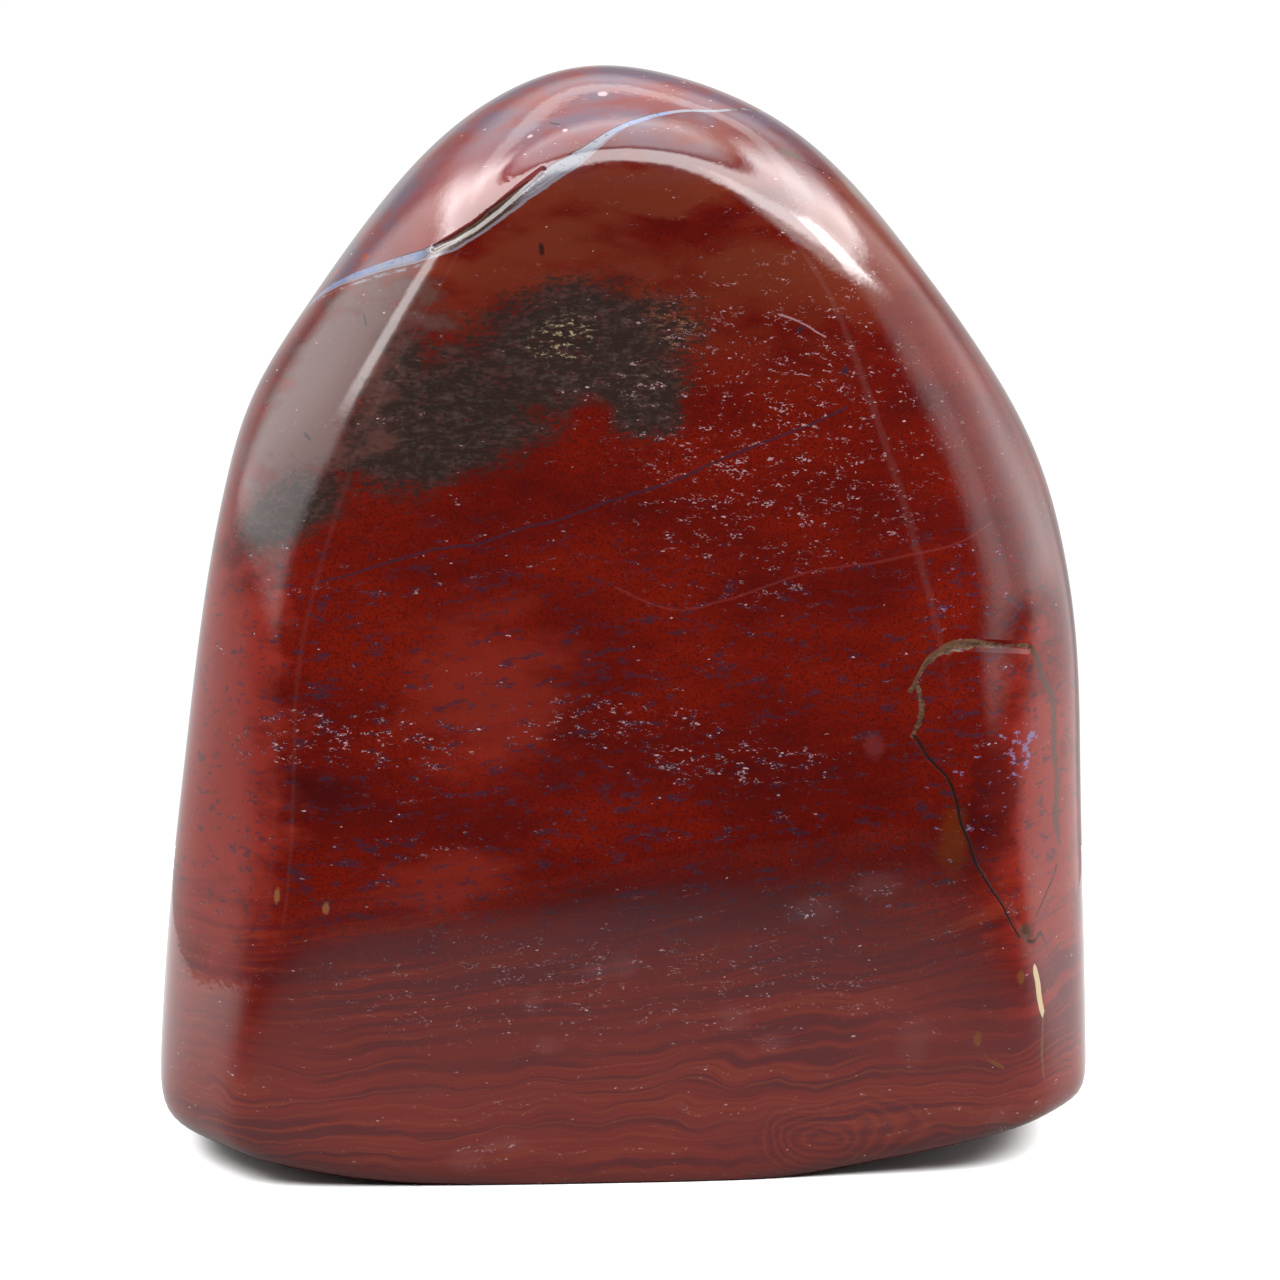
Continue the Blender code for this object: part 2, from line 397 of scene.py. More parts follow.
# Blots, by the zone that they make up: turn, tilt, half width and half height in millimetres, and how far
# they lean up to the right in degrees.
ZONES = {
    "dark": [(-37.6, 44.0, 13.6, 7.6, 16), (-10.5, 57.0, 12.8, 7.4, 8), (4.7, 53.6, 4.5, 4.6, 0),
             (-47.0, 46.5, 7.0, 5.5, 20)],
    "cheek": [(-56.7, 42.5, 15.0, 8.5, 62)],
    "tail": [(-56.0, 27.5, 8.5, 4.0, 24)],
    "purple": [(8.0, -34.2, 13.5, 4.0, 8), (-39.8, -29.7, 8.0, 1.7, 0), (-50.8, -28.1, 8.0, 1.7, 0)],
    "maroon": [(56.8, -9.9, 3.6, 6.0, 0)],
    "ochre": [(52.1, -15.5, 1.5, 3.8, 0)],
    "rusty": [(6.5, 68.0, 7.5, 3.0, 0)],
    "notch": [(-8.2, 50.9, 2.2, 2.2, 0)],
    "olive": [(13.3, 59.8, 4.6, 6.0, 0)],
    "cream": [(-14.5, 57.6, 3.2, 2.2, 0), (13.0, 60.2, 2.4, 3.4, 0)],
    "pink": [(43.4, -2.9, 1.0, 1.3, 0)],
    # The two flank blots are painted light: both sides painted a lighter red where the tent's walls light
    # them.
    "painted_light_flanks": [(-64.0, -6.0, 8.5, 26.0, 0), (66.0, -14.0, 6.0, 19.0, 0)],
    "paler_red_patches": [(-27.0, 7.0, 7.5, 7.5, 0), (-31.0, -23.0, 6.0, 2.6, 8), (50.0, -40.0, 6.0, 5.0, 0)],
    "blue_chips": [(61.9, -4.0, 3.4, 3.6, 0)],
    "few_chips": [(54.0, -11.0, 7.5, 8.5, 0), (58.0, 16.0, 6.5, 9.0, 0), (45.5, -22.5, 4.0, 3.0, 0)],
    "drift": [(33.0, 47.0, 15.0, 15.5, -30), (-3.2, 1.5, 9.0, 2.6, 0), (-44.0, -1.5, 13.0, 2.8, 0),
              (23.8, -5.8, 9.0, 3.0, 0)],
    "foot_drift": [(0.0, -45.0, 34.0, 6.0, 0)],
    "chalk": [
        (-6.4, -41.9, 1.8, 0.9, 0), (-0.1, -41.8, 1.4, 1.6, 0), (-18.9, -44.2, 1.2, 1.6, 0),
        (-16.7, -49.7, 1.6, 1.0, 0), (23.6, -47.5, 1.6, 1.6, 0), (31.4, -49.0, 1.6, 1.2, 0),
        (-26.3, -57.1, 3.6, 0.9, 0), (-33.0, -56.5, 1.6, 1.4, 0), (52.0, -41.5, 2.0, 2.4, 0),
        (62.0, -44.2, 1.2, 1.6, 0), (44.2, -24.1, 2.4, 1.2, 0), (36.0, -30.0, 2.6, 1.6, 0)],
    "agate": [(43.9, -54.9, 9.0, 4.8, 6)],
}
# Single small marks: turn, tilt, half width, half height, lean and paint.
TINY_MARKS = {
    "orange_left": (-49.9, -20.1, 0.32, 0.8, 0, "tan_orange"),
    "orange_middle": (-44.8, -22.7, 0.28, 0.6, 0, "tan_orange"),
    "yellow_right": (61.5, -30.1, 0.5, 0.7, 0, "ochre"),
    "yellow_low": (57.9, -37.8, 0.3, 0.8, 0, "ochre"),
    "yellow_foot": (60.1, -39.2, 0.9, 0.25, 0, "ochre"),
    "vug": (-20.1, 63.0, 0.30, 0.42, 0, "crack_dark"),
    "hair_top": (-22.5, 73.2, 1.4, 0.16, -18, "crack_dark"),
    "hair_shoulder": (-53.6, 51.1, 0.9, 0.2, -40, "crack_dark"),
    "hair_cheek": (-48.8, 44.8, 0.6, 0.18, -30, "crack_dark"),
    "hair_leaf": (-56.2, 36.8, 0.9, 0.22, -20, "crack_dark"),
    # Painted highlight: the next mark is a small white dot at the top of the crown.
    "painted_highlight_dot": (-10.5, 78.7, 0.55, 0.55, 0, "quartz"),
    "chalk_left": (-18.6, 72.2, 0.3, 0.3, 0, "quartz"),
    "chalk_far": (-29.1, 71.4, 0.3, 0.3, 0, "quartz"),
    "olive_lens": (50.9, 69.2, 2.4, 0.6, -22, "olive"),
    "tan_lens": (68.6, 64.4, 1.5, 1.6, -40, "tan"),
    "ink_spot": (38.0, 54.4, 0.35, 0.25, 0, "ink"),
    "ink_spot_low": (44.6, 48.6, 0.4, 0.3, 0, "ink"),
    "grey_plug": (62.2, -25.4, 1.1, 0.9, 0, "olive"),
    "tan_spot": (-73.8, 55.0, 0.8, 0.6, 0, "bed_orange"),
    "tan_spot_right": (-63.2, 57.3, 0.8, 0.5, 0, "bed_orange"),
}

# The healed vein is one sheet through the whole stone, so its line closes round the back: the tilt, the
# half width in millimetres and the paint at each turn.
VEIN = [
    (-180, 49), (-150, 42), (-130, 40), (-110, 43), (-95, 47), (-80, 50.5), (-70.4, 53.6), (-53.5, 57.2),
    (-41.3, 59.1), (-37.6, 60.1), (-33.9, 61.6), (-29.9, 63.5), (-25.6, 65.4), (-20.9, 67.2), (-11.0, 69.9),
    (0.8, 73.1), (18.2, 75.4), (37.5, 75.6), (60, 76), (90, 74.5), (120, 70), (150, 60), (180, 49),
]
VEIN_HALF_WIDTHS = [
    (-180, 0.22), (-100, 0.25), (-74, 0.34), (-55, 0.40), (-44, 0.50), (-36, 0.70), (-26, 0.66), (-18, 0.62),
    (-8, 0.52), (5, 0.36), (20, 0.24), (38, 0.18), (60, 0.20), (180, 0.22),
]
VEIN_PAINTS = [
    (-180, "olive"), (-92, "olive"), (-80, "vein_grey"), (-74, "vein_blue"), (-46, "vein_blue"),
    (-43, "olive"), (-40, "olive"), (-38, "recess"), (-27, "recess"), (-23, "vein_grey"),
    (-6, "vein_grey"), (0, "vein_blue"), (12, "vein_blue"), (20, "vein_grey"), (36, "vein_grey"),
    (48, "olive"), (180, "olive"),
]
# Stretches of the vein, and of the crown beside it: the middle turn, and how many degrees from it the
# stretch is whole and then gone.
OPEN_STRETCH = (-30, 9, 12)
PALE_LOWER_EDGE = (-45, 36, 46)
DARK_UPPER_EDGE = (-20, 28, 36)
PALE_THREAD_BELOW = (-60, 14, 17)
SHOULDER_TURNS = ((48, 66), (95, 130))

# Thin lines that run across: paint, half width in millimetres, strength, and the tilt at each turn.
LINES_ACROSS = {
    "blue_hairline": ("ink", 0.08, 0.7, [
        (-49.3, 19.5), (-45.7, 21.6), (-41.2, 24.9), (-35.7, 28.6), (-28.8, 31.8), (-21.3, 35.9),
        (-13.0, 38.9), (-5.9, 41.3), (1.5, 43.0), (9.8, 44.2), (17.6, 45.3), (25.2, 45.9), (31.1, 45.8),
        (44.5, 45.0)]),
    "pale_hairline": ("crown_rose", 0.08, 0.35, [
        (-2.7, 28.5), (9.3, 24.2), (12.7, 23.9), (19.6, 24.5), (26.1, 25.3), (37.5, 26.6), (45.7, 25.2),
        (50.9, 24.7), (57.8, 24.3), (63.4, 25.5)]),
    "scratch": ("quartz", 0.04, 0.5, [(33.8, 56.9), (38.1, 55.0), (42.4, 52.3)]),
    # The next two lines are painted reflection: a dark red line over the top right and a dark line down the
    # right shoulder, where the bright reflection along the silhouette ends.
    "painted_reflection_edge_top": ("maroon", 0.16, 0.9, [(50.9, 68.6), (57.0, 67.3), (62.0, 66.0)]),
    "painted_reflection_edge_side": ("ink", 0.10, 0.6, [
        (58.1, 66.3), (60.5, 61.6), (63.7, 55.8), (68.7, 47.6), (75.7, 41.9), (79.8, 37.5), (88, 26),
        (92, 15)]),
    "squiggle": ("crack_dark", 0.16, 0.8, [
        (62.0, -26.4), (63.9, -26.4), (65.5, -25.7), (66.6, -27.0), (67.0, -28.1)]),
}
# The same for lines that run up and down: the turn at each tilt.
LINES_UP = {
    "tail": ("maroon", 0.13, 0.9, [
        (-24.3, 63.9), (-23.2, 65.1), (-21.6, 66.8), (-19.9, 68.6), (-18.2, 69.7)]),
    "rim_band": ("olive", 0.5, 0.75, [
        (-16.3, 70.3), (-14.3, 69.6), (-8.4, 70.2), (-5.3, 69.7), (-1.2, 70.0), (2.7, 69.7), (4.8, 67.8),
        (6.7, 67.4), (8.8, 66.0)]),
    "cream_foot": ("tan", 0.14, 0.6, [
        (-39.0, 66.1), (-36.7, 65.4), (-33.3, 65.5), (-32.0, 64.9)]),
}
CRESCENT_TOP = [(48.3, 5.3), (49.4, 7.4), (50.3, 8.9), (52.1, 10.2), (53.9, 10.9), (55.9, 10.8), (58.8, 10.2),
                (61.9, 9.6), (65.9, 8.8)]
CRESCENT_BRANCH = [(-1.4, 48.2), (0.5, 49.0), (2.8, 49.5), (4.8, 49.4), (6.6, 49.0)]
LONG_CRACK = [(-26.0, 61.0), (-25.1, 60.1), (-22.9, 58.5), (-21.1, 56.9), (-18.4, 54.9), (-15.0, 53.6),
              (-13.4, 52.9), (-9.7, 52.2), (-7.2, 51.4), (-4.7, 49.5), (-1.4, 48.2)]
CREAM_PLUG = [(-33.3, 65.5), (-32.0, 64.9), (-30.4, 64.5), (-29.1, 63.9)]

# The marks are worked out at every point of the mesh and kept there, and the shader roughens their edges.
# A mark or a line reaches no further than this from its middle.
FAR_MM = 2.6
points = np.array([v.co for v in stone_mesh.vertices]) / MM + (middle[0], middle[1], -HEART_HEIGHT_MM)
radius = np.linalg.norm(points, axis=1)
turn = np.degrees(np.arctan2(points[:, 0], -points[:, 1]))
tilt = np.degrees(np.arcsin(points[:, 2] / radius))
mm_per_tilt = radius * math.pi / 180
mm_per_turn = mm_per_tilt * np.cos(np.radians(tilt))


def keep(name, values):
    """Keeps a number, an arrow or a colour at every point of the stone."""
    kinds = {1: ("FLOAT", "value"), 3: ("FLOAT_VECTOR", "vector"), 4: ("FLOAT_COLOR", "color")}
    kind, field = kinds[values.size // len(points)]
    kept = stone_mesh.attributes.new(name=name, type=kind, domain="POINT")
    kept.data.foreach_set(field, np.ascontiguousarray(values, dtype=np.float32).ravel())


def ramp(values, start, end):
    """A soft step from 0 to 1 while the values run from start to end."""
    share = np.clip((values - start) / (end - start), 0, 1)
    return share * share * (3 - 2 * share)


def local_place(turn, tilt, half_width, half_height, lean):
    """Where each point lies from the middle of a leaning oval, measured in its half widths."""
    toward = np.array([facing(turn, tilt)])
    away = points - toward * polished(toward)[:, None]
    if lean:
        spin, lean = math.radians(turn), math.radians(lean)
        out = away[:, 0] * math.cos(spin) + away[:, 1] * math.sin(spin)
        deep = away[:, 1] * math.cos(spin) - away[:, 0] * math.sin(spin)
        up = away[:, 2] * math.cos(lean) - out * math.sin(lean)
        away = np.column_stack((out * math.cos(lean) + away[:, 2] * math.sin(lean), deep, up))
    return away / (half_width, max(half_width, half_height), half_height)


def line_level(along, route):
    """The level of a smooth line through a route's points, read at each place along it."""
    at, level = np.array(sorted(route), float).T
    slope = np.gradient(level, at)
    along = np.clip(along, at[0], at[-1])
    left = np.clip(np.searchsorted(at, along) - 1, 0, len(at) - 2)
    run = at[left + 1] - at[left]
    share = (along - at[left]) / run
    rest = 1 - share
    ends = level[left] * (1 + 2 * share) * rest**2 + level[left + 1] * (1 + 2 * rest) * share**2
    return ends + run * share * rest * (slope[left] * rest - slope[left + 1] * share)


def line_away(route, up=False):
    """Signed distance in mm from a line, and how far each point lies past its ends."""
    along, across, scale = (tilt, turn, mm_per_turn) if up else (turn, tilt, mm_per_tilt)
    at = [position for position, _ in route]
    past = np.maximum(np.maximum(min(at) - along, along - max(at)), 0)
    past_mm = past * (mm_per_tilt if up else mm_per_turn)
    return (across - line_level(along, route)) * scale, past_mm


def near_turn(middle_turn, whole_to, gone_by):
    """1 along a stretch of turns, fading out past it."""
    return 1 - ramp(np.abs(turn - middle_turn), whole_to, gone_by)


for name, blots in ZONES.items():
    keep(name, np.min([np.linalg.norm(local_place(*blot), axis=1) for blot in blots], axis=0))

# Small marks and thin lines: how far each point lies from the nearest one, with a third number that
# grows far from it, so that no false mark shows halfway between two.
nearest = np.full(len(points), np.inf)
mark_place = np.zeros((len(points), 3))
mark_paint = np.zeros((len(points), 4))
for mark_turn, mark_tilt, half_width, half_height, lean, paint in TINY_MARKS.values():
    toward = np.array([facing(mark_turn, mark_tilt)])
    spin, rise = math.radians(mark_turn), math.radians(mark_tilt)
    east = np.array((math.cos(spin), math.sin(spin), 0))
    north = np.array((-math.sin(spin) * math.sin(rise), math.cos(spin) * math.sin(rise), math.cos(rise)))
    cosine, sine = math.cos(math.radians(lean)), math.sin(math.radians(lean))
    away = points - toward * polished(toward)[:, None]
    out = np.linalg.norm(away, axis=1)
    share = 1 - ramp(out, FAR_MM / 2, FAR_MM)
    along = away @ (east * cosine + north * sine) * share / half_width
    up = away @ (north * cosine - east * sine) * share / half_height
    closer = out < nearest
    nearest[closer] = out[closer]
    far = (1 - share) * FAR_MM / min(half_width, half_height)
    mark_place[closer] = np.column_stack((along, up, far))[closer]
    mark_paint[closer] = PAINTS[paint]
keep("mark_place", mark_place)
keep("mark_paint", mark_paint)

nearest = np.full(len(points), np.inf)
line_place = np.zeros((len(points), 3))
line_paint = np.zeros((len(points), 4))
for lines, up in ((LINES_ACROSS, False), (LINES_UP, True)):
    for paint, half, strength, route in lines.values():
        away, past = line_away(route, up)
        share = 1 - ramp(np.abs(away), FAR_MM / 2, FAR_MM)
        closer = np.abs(away) + 2 * past < nearest
        nearest[closer] = (np.abs(away) + 2 * past)[closer]
        far = (1 - share) * FAR_MM + 2 * past
        line_place[closer] = np.column_stack((away * share, far, np.full(len(away), half)))[closer]
        line_paint[closer] = (*PAINTS[paint][:3], strength)
keep("line_place", line_place)
keep("line_paint", line_paint)
arc, branch, crack = line_away(CRESCENT_TOP), line_away(CRESCENT_BRANCH, True), line_away(LONG_CRACK, True)
keep("crack_away", np.column_stack((arc[0], branch[0], crack[0])))
# The crescent is widest at its bend and narrows toward both ends.
arc_taper = 0.34 * ramp(turn, 53, 66) + 0.2 * ramp(-turn, -50, -48)
keep("crack_past", np.column_stack((arc[1] + arc_taper, branch[1], crack[1])))
plug = line_away(CREAM_PLUG, True)
keep("plug_away", np.column_stack((plug[0], plug[1], 0 * plug[0])))

paint_turns = [turn for turn, _ in VEIN_PAINTS]
paint_stops = np.array([PAINTS[paint] for _, paint in VEIN_PAINTS])
vein_half = np.interp(turn, *np.array(VEIN_HALF_WIDTHS, float).T)
keep("vein_paint", np.column_stack([np.interp(turn, paint_turns, channel) for channel in paint_stops.T]))
keep("vein_away", np.column_stack((line_away(VEIN)[0], vein_half, near_turn(*OPEN_STRETCH))))
edge_stretches = (PALE_LOWER_EDGE, DARK_UPPER_EDGE, PALE_THREAD_BELOW)
keep("vein_edges", np.column_stack([near_turn(*stretch) for stretch in edge_stretches]))
shoulder_rise, shoulder_fall = SHOULDER_TURNS
keep("shoulder", ramp(-turn, *shoulder_rise) * (1 - ramp(-turn, *shoulder_fall)))


def blend(tree, share, under, over):
    """One colour laid over another by a share between 0 and 1."""
    return node(tree, "ShaderNodeMix", {0: share, 6: under, 7: over}, data_type="RGBA").outputs[2]


def product(tree, first, *others):
    """Several shares multiplied together."""
    for other in others:
        first = calc(tree, "MULTIPLY", first, other)
    return first


def grain(tree, place, size, detail=2.0, rough=0.5):
    """Noise with lumps about as large as the size."""
    inputs = {"Vector": place, "Scale": 1.0 / size, "Detail": detail, "Roughness": rough}
    return node(tree, "ShaderNodeTexNoise", inputs).outputs[0]


def kept(name, output="Fac"):
    """A number, arrow or colour kept at the stone's own points."""
    return node(red, "ShaderNodeAttribute", attribute_name=name).outputs[output]


def zone(name, soft, edge=None):
    """1 inside a zone, fading out over a ragged edge."""
    out = kept(name) if edge is None else calc(red, "ADD", kept(name), edge)
    return step(red, out, 1 - soft / 2, 1 + soft / 2, 1.0, 0.0)


def band(tree, away, middle, half, soft, past=0.0):
    """1 within half a width of a distance, fading out softly, also past the end of a line."""
    off = calc(tree, "ABSOLUTE", calc(tree, "SUBTRACT", away, middle))
    off = calc(tree, "ADD", off, past)
    return step(tree, off, half, half + soft, 1.0, 0.0)


def specks(tree, place, spacing, size, amount):
    """Angular grains about a spacing apart; the amount says what share of them is there."""
    cells = node(tree, "ShaderNodeTexVoronoi", {"Vector": place, "Scale": 1.0 / spacing})
    pick = node(tree, "ShaderNodeSeparateColor", {0: cells.outputs["Color"]})
    there = calc(tree, "LESS_THAN", pick.outputs[0], amount)
    reach = calc(tree, "MULTIPLY", pick.outputs[1], size / spacing)
    edge = calc(tree, "SUBTRACT", cells.outputs["Distance"], reach)
    glint = step(tree, pick.outputs[2], 0.0, 1.0, 0.15, 1.0)
    return product(tree, there, glint, step(tree, edge, -0.04, 0.04, 1.0, 0.0))


jasper = bpy.data.materials.new("polished_jasper")
jasper.use_nodes = True
red = jasper.node_tree
shader = red.nodes["Principled BSDF"]

own_place = node(red, "ShaderNodeTexCoord").outputs["Object"]
from_heart = {0: own_place, 1: (1 / MM, 1 / MM, 1 / MM), 2: (middle[0], middle[1], -HEART_HEIGHT_MM)}
place = node(red, "ShaderNodeVectorMath", from_heart, operation="MULTIPLY_ADD").outputs[0]
x, y, z = parts(red, place)

# How steeply the beds rise to the right, how high and how far apart their folds are, and how much the
# noise is squeezed sideways along them.
BED_SLOPE = 0.15
FOOT_SLOPE = 0.05
FOLD_MM = 5.0
FOLD_APART_MM = 30.0
SMALL_FOLD_MM = 3.0
SMALL_FOLD_APART_MM = 10.0
BED_STRETCH = 0.20
LONG_STRETCH = 0.035
CLOUD_STRETCH = (0.45, 0.45, 1)
RIPPLE_SPACING_MM = 0.9
# Heights over the heart that a change starts and is full at, or a band's middle, half and soft widths.
SLOPE_EASES_MM = (-20.0, -40.0)
FOLDS_TIGHTEN_MM = (-28.0, -42.0)
RUST_MM = (34.0, 52.0)
CROWN_MM = (58.0, 68.0)
LOW_BEDS_MM = (-14.0, -26.0)
FOOT_MM = (-14.0, -42.0)
RIPPLE_BAND_MM = (-42.5, 4.0, 3.5)
SMUDGE_BAND_MM = (-2.0, 14.0, 16.0)
slope = product(red, x, step(red, z, *SLOPE_EASES_MM, -BED_SLOPE, -FOOT_SLOPE))
folds = calc(red, "MULTIPLY_ADD", grain(red, place, FOLD_APART_MM), FOLD_MM, calc(red, "ADD", slope, z))
bed = calc(red, "ADD", folds, -FOLD_MM / 2)
foot_share = step(red, z, *FOLDS_TIGHTEN_MM, 0.3, 1.0)
small_folds = calc(red, "SUBTRACT", grain(red, place, SMALL_FOLD_APART_MM), 0.5)
crumple = product(red, small_folds, foot_share, 2 * SMALL_FOLD_MM)
folded = calc(red, "ADD", bed, crumple)


def drawn_out(stretch, height):
    """The place squeezed sideways, so that noise read there is drawn out along the beds."""
    squeezed = {0: calc(red, "MULTIPLY", x, stretch), 1: calc(red, "MULTIPLY", y, stretch), 2: height}
    return node(red, "ShaderNodeCombineXYZ", squeezed).outputs[0]


bedded = drawn_out(BED_STRETCH, bed)
bedding = drawn_out(LONG_STRETCH, folded)
half_flat = node(red, "ShaderNodeVectorMath", {0: place, 1: CLOUD_STRETCH}, operation="MULTIPLY").outputs[0]

# Body colour: clouds of scarlet and maroon, drawn out along the beds, with a gritty grain. Here and
# below, a step's first two numbers are the noise values that it runs between.
clouds = grain(red, half_flat, 9.0, 3.0, 0.6)
body = blend(red, step(red, clouds, 0.22, 0.46), PAINTS["maroon"], PAINTS["brick"])
body = blend(red, step(red, clouds, 0.42, 0.66), body, PAINTS["scarlet"])
fibres = grain(red, bedded, 0.9, 3.0, 0.65)
grit = grain(red, place, 0.30, 1.0)
specky = grain(red, half_flat, 0.9, 2.0, 0.7)
dusky = calc(red, "MAXIMUM", step(red, fibres, 0.50, 0.76, 0.0, 0.5), step(red, specky, 0.54, 0.70, 0.0, 0.5))
body = blend(red, calc(red, "MAXIMUM", dusky, step(red, grit, 0.46, 0.66, 0.0, 0.6)), body, PAINTS["maroon"])
ragged = calc(red, "MULTIPLY_ADD", grain(red, half_flat, 3.5, 4.0, 0.62), 2.4, -1.2)
rusty = product(red, step(red, z, *RUST_MM), step(red, clouds, 0.40, 0.58))
body = blend(red, calc(red, "MAXIMUM", rusty, zone("rusty", 0.6, ragged)), body, PAINTS["rust"])

# Paler red patches: on the front at the left, low at the left and low at the right.
body = blend(red, product(red, zone("paler_red_patches", 1.4, ragged), 0.6), body, PAINTS["paler_red"])
# Painted light: both flanks painted a lighter red, as if lit more by the tent's side walls.
body = blend(red, product(red, zone("painted_light_flanks", 0.9, ragged), 0.6), body, PAINTS["painted_light_red"])

# Beds: purple layers low down, and thin orange lines that wave above the foot and ring an agate eye.
layers = grain(red, bedding, 1.2, 3.0, 0.68)
low = step(red, z, *LOW_BEDS_MM)
body = blend(red, step(red, z, *FOOT_MM, 0.0, 0.8), body, PAINTS["foot_red"])
patchy = product(red, low, step(red, clouds, 0.30, 0.60, 0.35, 1.0))
purple = product(red, zone("purple", 0.85, ragged), step(red, layers, 0.66, 0.46, 0.10, 0.55))
purple = calc(red, "MAXIMUM", purple, product(red, patchy, step(red, layers, 0.52, 0.42), 0.6))
body = blend(red, purple, body, PAINTS["bed_purple"])
ripples = calc(red, "PINGPONG", folded, RIPPLE_SPACING_MM)
ripple_zone = product(red, band(red, z, *RIPPLE_BAND_MM), step(red, clouds, 0.34, 0.56))
orange = product(red, patchy, step(red, layers, 0.56, 0.66), 0.38)
orange = calc(red, "MAXIMUM", orange, product(red, ripple_zone, step(red, ripples, 0.04, 0.22, 0.42, 0.0)))
body = blend(red, orange, body, PAINTS["bed_orange"])

AGATE_RINGS = 5.0
eye_out = calc(red, "MULTIPLY_ADD", crumple, 0.22, kept("agate"))
rings = calc(red, "PINGPONG", calc(red, "MULTIPLY", eye_out, AGATE_RINGS), 0.5)
in_eye = step(red, eye_out, 0.95, 1.25, 1.0, 0.0)
body = blend(red, product(red, in_eye, step(red, rings, 0.20, 0.42), 0.3), body, PAINTS["bed_purple"])
body = blend(red, product(red, in_eye, step(red, rings, 0.05, 0.15, 0.25, 0.0)), body, PAINTS["bed_orange"])

# Dark patch: bottle-green jasper with fine grey fibres, running from the front over the left cheek.
hairs = grain(red, half_flat, 0.36, 3.0, 0.72)
fringed = calc(red, "MULTIPLY_ADD", hairs, 1.4, calc(red, "MULTIPLY_ADD", ragged, 0.45, -0.7))
cheek = zone("cheek", 0.5, ragged)
tail = zone("tail", 0.8, fringed)
dark = calc(red, "MAXIMUM", zone("dark", 0.5, fringed), calc(red, "MAXIMUM", cheek, tail))
dark = calc(red, "MULTIPLY", dark, calc(red, "SUBTRACT", 1.0, zone("notch", 0.9, ragged)))
bottle = blend(red, step(red, specky, 0.50, 0.68, 0.0, 0.6), PAINTS["bottle_dark"], PAINTS["maroon"])
streaky = calc(red, "MULTIPLY_ADD", calc(red, "ADD", specky, -0.5), 0.7, hairs)
bottle = blend(red, step(red, streaky, 0.40, 0.80), bottle, PAINTS["bottle_grey"])
cheek_alone = calc(red, "MULTIPLY", cheek, calc(red, "SUBTRACT", 1.0, tail))
bottle = blend(red, cheek_alone, bottle, PAINTS["cheek_grey"])
olive_share = product(red, zone("olive", 0.9, ragged), step(red, hairs, 0.50, 0.64), 0.8)
bottle = blend(red, olive_share, bottle, PAINTS["olive"])
mottled = product(red, zone("cream", 0.9, ragged), step(red, hairs, 0.56, 0.66), 0.8)
bottle = blend(red, mottled, bottle, PAINTS["cream"])
body = blend(red, calc(red, "MULTIPLY", dark, 0.94), body, bottle)

# Crown: rosy above the vein and greyish mauve at the very top, in soft slanting clouds.
vein_off_line, vein_half, open_part = parts(red, kept("vein_away", "Vector"))
vein_away = calc(red, "MULTIPLY_ADD", ragged, 0.3, vein_off_line)
smoke = grain(red, half_flat, 6.0, 3.0, 0.6)
above = step(red, vein_away, -0.3, 0.6)
body = blend(red, product(red, above, step(red, smoke, 0.34, 0.60, 0.35, 0.85)), body, PAINTS["crown_rose"])
mauve_share = calc(red, "MAXIMUM", step(red, z, *CROWN_MM), product(red, above, kept("shoulder")))
body = blend(red, product(red, mauve_share, step(red, smoke, 0.36, 0.57)), body, PAINTS["crown_mauve"])

# Quartz grains in drifts, blue-black smudges along the beds and periwinkle chalcedony on the right.
GRAINS_APART_MM = 0.28
GRAIN_MM = 0.12
SCATTER_MM = (0.9, 0.9, 0.9)
scatter = node(red, "ShaderNodeCombineXYZ", {0: fibres, 1: hairs, 2: smoke}).outputs[0]
loosened = {0: scatter, 1: SCATTER_MM, 2: half_flat}
loose = node(red, "ShaderNodeVectorMath", loosened, operation="MULTIPLY_ADD").outputs[0]
foot_drift = calc(red, "MULTIPLY", zone("foot_drift", 0.9, ragged), 0.5)
drift = product(red, calc(red, "MAXIMUM", zone("drift", 1.2, ragged), foot_drift), 0.8)
drift = calc(red, "MAXIMUM", drift, step(red, layers, 0.52, 0.72, 0.03, 0.35))
crowd = step(red, specky, 0.50, 0.62)
smudges = product(red, step(red, specky, 0.52, 0.62), step(red, fibres, 0.44, 0.56))
smudges = product(red, smudges, band(red, z, *SMUDGE_BAND_MM), 0.6)
body = blend(red, smudges, body, PAINTS["ink"])
body = blend(red, calc(red, "MULTIPLY", zone("maroon", 0.8, ragged), 0.7), body, PAINTS["maroon"])
few_chips = calc(red, "MULTIPLY", zone("few_chips", 0.8, ragged), 0.62)
chip_zone = calc(red, "MAXIMUM", zone("blue_chips", 0.8, ragged), few_chips)
chips = calc(red, "MULTIPLY_ADD", chip_zone, 0.27, grain(red, half_flat, 0.8, 3.0, 0.7))
body = blend(red, step(red, chips, 0.79, 0.87, 0.0, 0.85), body, PAINTS["periwinkle"])
chalk = zone("chalk", 1.2, ragged)
crowded = product(red, calc(red, "MAXIMUM", chalk, drift), crowd)
threads = band(red, grain(red, half_flat, 0.8, 2.0, 0.6), 0.5, 0.010, 0.020)
threads = product(red, threads, step(red, grit, 0.42, 0.58), crowded)
amount = product(red, crowded, calc(red, "MULTIPLY_ADD", chalk, -0.5, 1.0))
loose_grains = specks(red, loose, GRAINS_APART_MM, GRAIN_MM, amount)
quartz_share = calc(red, "MAXIMUM", threads, loose_grains)
quartz_share = calc(red, "MAXIMUM", quartz_share, calc(red, "MULTIPLY", chalk, 0.05))
body = blend(red, quartz_share, body, PAINTS["quartz"])
body = blend(red, calc(red, "MULTIPLY", zone("ochre", 1.2, ragged), 0.3), body, PAINTS["ochre"])
body = blend(red, calc(red, "MULTIPLY", zone("pink", 0.9, fringed), 0.4), body, PAINTS["crown_rose"])

